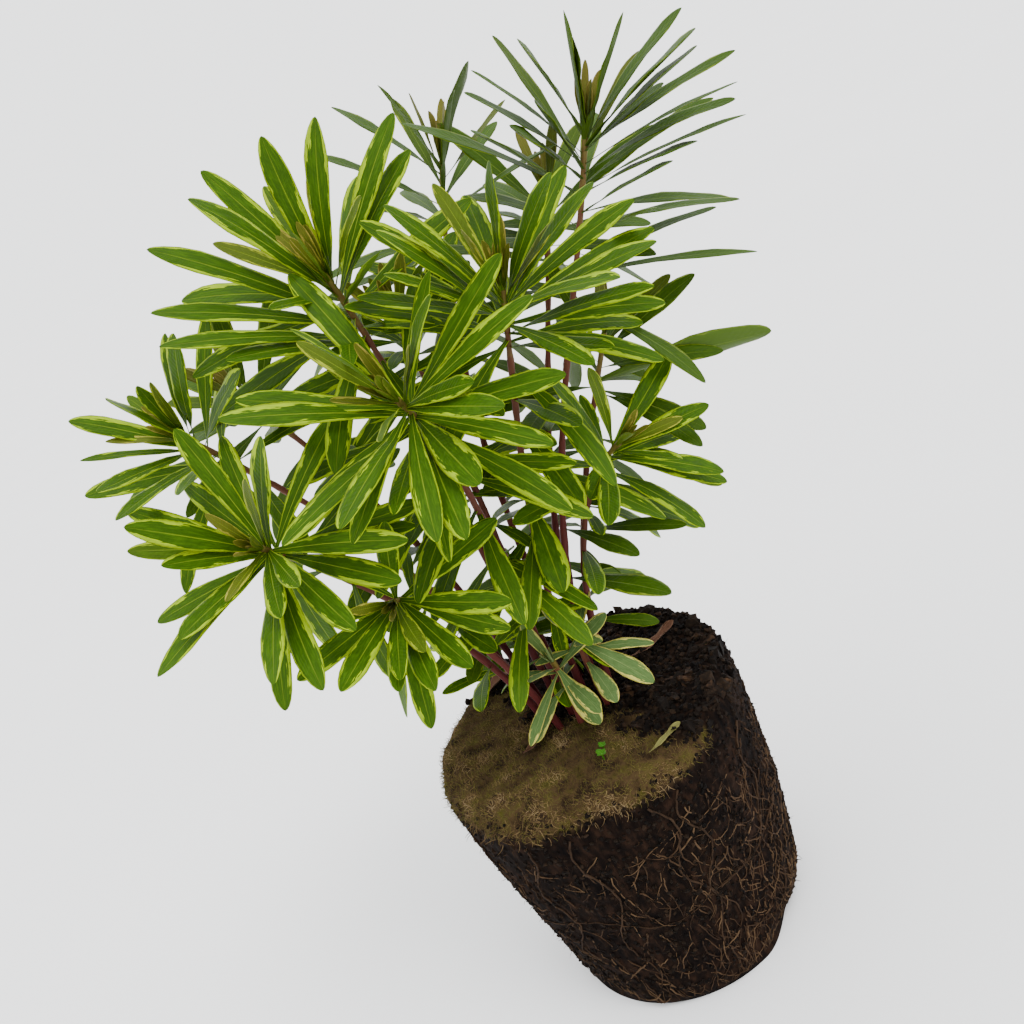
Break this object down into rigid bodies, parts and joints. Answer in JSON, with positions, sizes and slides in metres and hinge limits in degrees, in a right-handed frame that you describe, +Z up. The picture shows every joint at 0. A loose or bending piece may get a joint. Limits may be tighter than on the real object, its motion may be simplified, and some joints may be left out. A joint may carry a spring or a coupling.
{
  "type": "bare-root-ball variegated euphorbia plant",
  "caption": "Leafy evergreen spurge with cream-edged leaves on reddish stems, lifted from its pot with the tapered root ball bare, standing on the root ball's flat base.",
  "frame": {"origin": "centre of the flat base that the root ball stands on", "axes": "+Z up along the root ball, -Y towards the plant's fullest side, +X to the right seen from that side"},
  "size_m": [0.3199, 0.2193, 0.4173],
  "materials": {
    "leaf": "matt green leaf with jagged lime-yellow margins and a pale rib",
    "stem": "smooth reddish-brown young stem with leaf scars",
    "soil": "damp dark peat soil, crumbly, with moss on top",
    "root": "matt tan fibrous root",
    "litter": "dry brown fallen leaf"
  },
  "bodies": {
    "root": {"rootball": "soil", "root_net": "root", "leafy_stem_front": "leaf", "leafy_stem_low_left": "leaf", "leafy_stem_centre": "leaf", "leafy_stem_upper_left": "leaf", "leafy_stem_far_left": "leaf", "leafy_stem_tall_right": "leaf", "leafy_stem_tall_back": "leaf", "leafy_stem_under_front": "leaf", "leafy_stem_low_right": "leaf", "leafy_stem_middle": "leaf", "leafy_stem_back_right": "leaf", "leafy_stem_back_left": "leaf", "leafy_stem_right": "leaf", "leafy_stem_young_front": "leaf", "leafy_stem_young_right": "leaf", "fallen_leaf_front": "litter", "fallen_leaf_side": "litter", "fallen_leaf_right": "litter", "fallen_leaf_back": "litter"}
  },
  "joints": []
}
